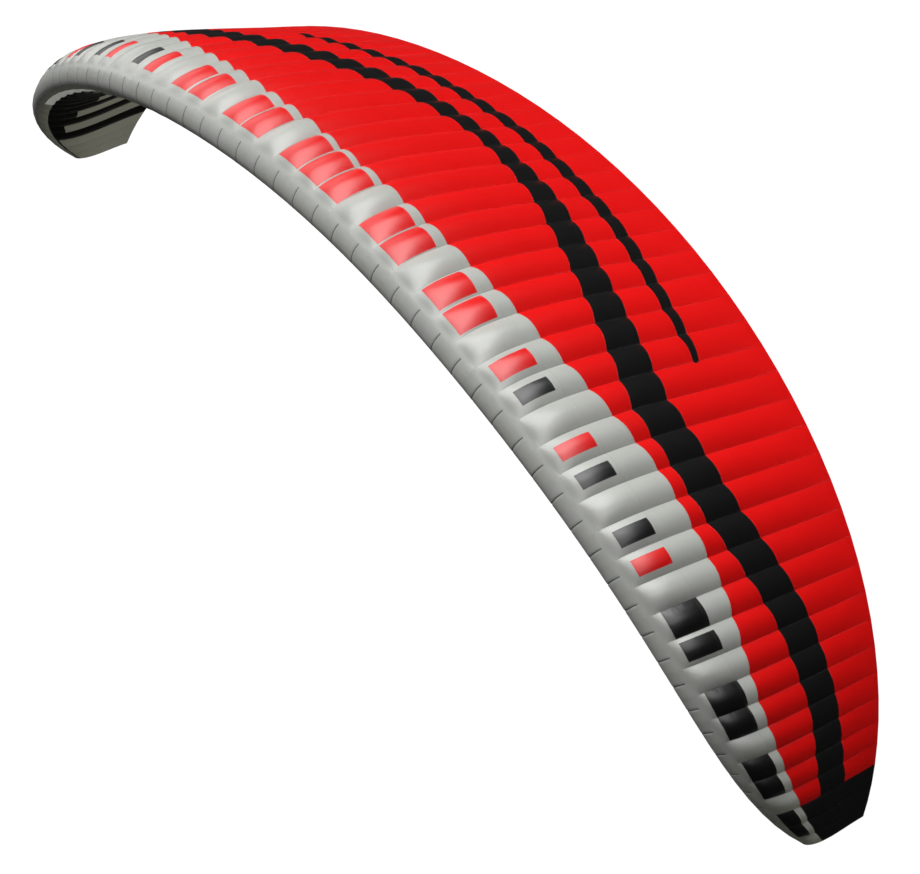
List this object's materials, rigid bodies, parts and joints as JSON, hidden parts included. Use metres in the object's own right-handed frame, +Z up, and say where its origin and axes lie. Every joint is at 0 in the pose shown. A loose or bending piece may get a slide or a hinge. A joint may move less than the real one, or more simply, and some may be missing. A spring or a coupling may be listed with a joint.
{
  "type": "paraglider wing",
  "caption": "Inflated ram-air paraglider wing in flight: 59 sewn cells billow between their ribs along a deep arc, with open intakes under the nose.",
  "frame": {"origin": "on the outside of the lower skin, in the middle of the centre cell, 30% of the chord behind the nose, where the lines pull", "axes": "+X along the span, towards the wing's left tip as its pilot sees it; -Y the way the nose faces, so +Y runs from nose to tail; +Z up"},
  "size_m": [10.0276, 2.5435, 2.9397],
  "materials": {
    "red_ripstop": "coated ripstop, satin",
    "grey_ripstop": "coated ripstop, satin",
    "black_ripstop": "coated ripstop, satin",
    "white_ripstop": "hard-finished ripstop, matt"
  },
  "bodies": {
    "root": {"upper_skin": "red_ripstop", "leading_edge": "grey_ripstop", "lower_skin": "black_ripstop", "tip_rib_left": "black_ripstop", "tip_rib_right": "black_ripstop", "rib_09": "white_ripstop", "rib_10": "white_ripstop", "rib_11": "white_ripstop", "rib_12": "white_ripstop", "rib_13": "white_ripstop", "rib_14": "white_ripstop", "rib_15": "white_ripstop", "rib_16": "white_ripstop", "rib_17": "white_ripstop", "rib_18": "white_ripstop", "rib_19": "white_ripstop", "rib_20": "white_ripstop", "rib_21": "white_ripstop", "rib_22": "white_ripstop", "rib_23": "white_ripstop", "rib_24": "white_ripstop", "rib_25": "white_ripstop", "rib_26": "white_ripstop", "rib_27": "white_ripstop", "rib_28": "white_ripstop", "rib_29": "white_ripstop", "rib_30": "white_ripstop", "rib_31": "white_ripstop", "rib_32": "white_ripstop", "rib_33": "white_ripstop", "rib_34": "white_ripstop", "rib_35": "white_ripstop", "rib_36": "white_ripstop", "rib_37": "white_ripstop", "rib_38": "white_ripstop", "rib_39": "white_ripstop", "rib_40": "white_ripstop", "rib_41": "white_ripstop", "rib_42": "white_ripstop", "rib_43": "white_ripstop", "rib_44": "white_ripstop", "rib_45": "white_ripstop", "rib_46": "white_ripstop", "rib_47": "white_ripstop", "rib_48": "white_ripstop", "rib_49": "white_ripstop", "rib_50": "white_ripstop"}
  },
  "joints": []
}
